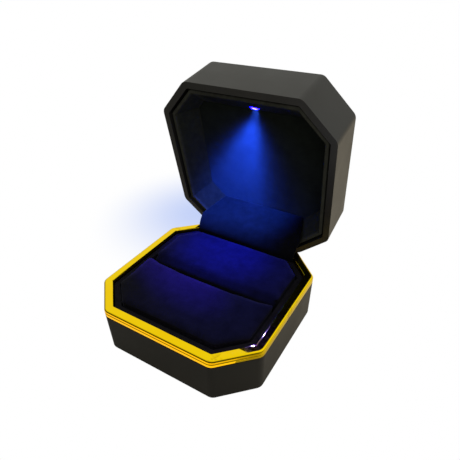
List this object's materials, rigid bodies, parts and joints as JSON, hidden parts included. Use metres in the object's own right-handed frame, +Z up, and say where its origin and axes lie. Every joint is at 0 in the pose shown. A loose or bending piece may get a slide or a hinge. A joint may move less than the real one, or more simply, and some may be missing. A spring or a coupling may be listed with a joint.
{
  "type": "ring box",
  "caption": "Octagonal ring box with a hinged lid, gold trim ring, velvet ring cushions and a lamp in the lid that a sprung plunger switches off as the lid shuts.",
  "frame": {"origin": "middle of the flat underside that the box rests on", "axes": "+Z up, -Y the front that opens, +X along the hinge; stored with the lid open at its stop"},
  "size_m": [0.07, 0.089, 0.0878],
  "materials": {
    "satin_black": "soft-touch satin black",
    "gold_trim": "electroplated mirror gold",
    "velvet": "black velvet flock",
    "hinge_steel": "plain steel",
    "clear_lens": "clear epoxy",
    "tinned_wire": "tinned",
    "black_plastic": "moulded black",
    "white_plastic": "moulded natural white",
    "green_board": "solder-masked board",
    "cell_can": "nickel-plated steel",
    "spring_contact": "plated contact strip"
  },
  "bodies": {
    "base": {"base_shell": "satin_black", "trim_ring": "gold_trim", "insert_tray": "velvet", "front_cushion": "velvet", "rear_cushion": "velvet", "hinge_flap": "velvet", "hinge_base_leaf": "hinge_steel", "hinge_pin": "hinge_steel"},
    "lid": {"lid_shell": "satin_black", "lid_lining": "velvet", "lid_back_panel": "velvet", "hinge_lid_leaf": "hinge_steel", "lamp": "clear_lens", "lamp_leads": "tinned_wire", "lamp_holder": "black_plastic", "circuit_board": "green_board", "board_parts": "black_plastic", "board_screws": "tinned_wire", "coin_cell": "cell_can", "cell_holder": "black_plastic", "cell_contact_plus": "spring_contact", "cell_contact_minus": "spring_contact", "lid_switch": "black_plastic"},
    "plunger": {"switch_plunger": "white_plastic", "plunger_spring": "tinned_wire"}
  },
  "joints": [
    {"name": "lid_hinge", "type": "hinge", "parent": "base", "child": "lid", "pos_m": [0, 0.0335, 0.0176], "axis": [1, 0, 0], "range_deg": [0, 78.3], "deforming": ["hinge_flap"]},
    {"name": "plunger_slide", "type": "slide", "parent": "lid", "child": "plunger", "axis": [0, 0.9792, 0.2028], "range_m": [0, 0.00086], "stiffness_N_per_m": 60, "springref_m": -0.0005, "deforming": ["plunger_spring"]}
  ],
  "couplings": [
    {"joint": "plunger_slide", "follows": "lid_hinge", "m_per_rad": 0.00062}
  ]
}
